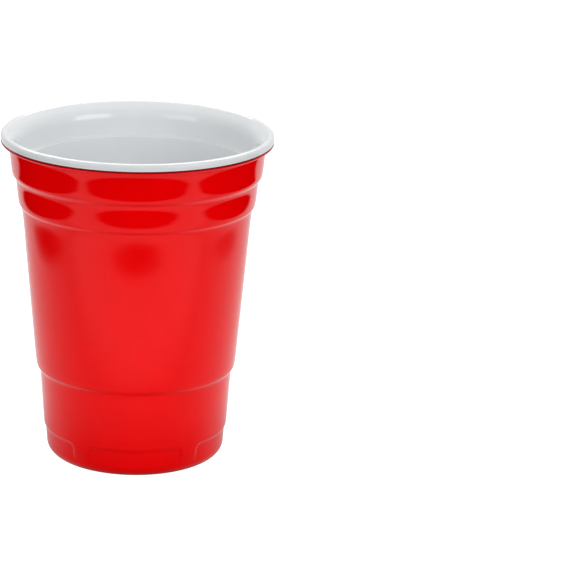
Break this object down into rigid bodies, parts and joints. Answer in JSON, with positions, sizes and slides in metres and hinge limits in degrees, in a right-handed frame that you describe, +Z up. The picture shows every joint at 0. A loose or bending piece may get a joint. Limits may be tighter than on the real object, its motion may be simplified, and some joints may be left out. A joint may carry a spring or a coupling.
{
  "type": "melamine cup",
  "caption": "Tall tapered drinking cup in two-colour melamine, glossy red outside and white inside, with stepped bands under a rolled lip and shallow grip panels round the foot.",
  "frame": {"origin": "on the cup's axis, at the level that it stands on", "axes": "+Z up along the cup's axis, from the foot to the lip; -Y is the side that the picture shows, with one grip panel facing it"},
  "size_m": [0.0974, 0.0974, 0.12],
  "materials": {
    "red_melamine": "glossy moulded red melamine, a little softer in gloss on the main wall",
    "white_melamine": "glossy moulded white melamine, on the inside and the lip"
  },
  "bodies": {
    "root": {"cup": "red_melamine"}
  },
  "joints": []
}
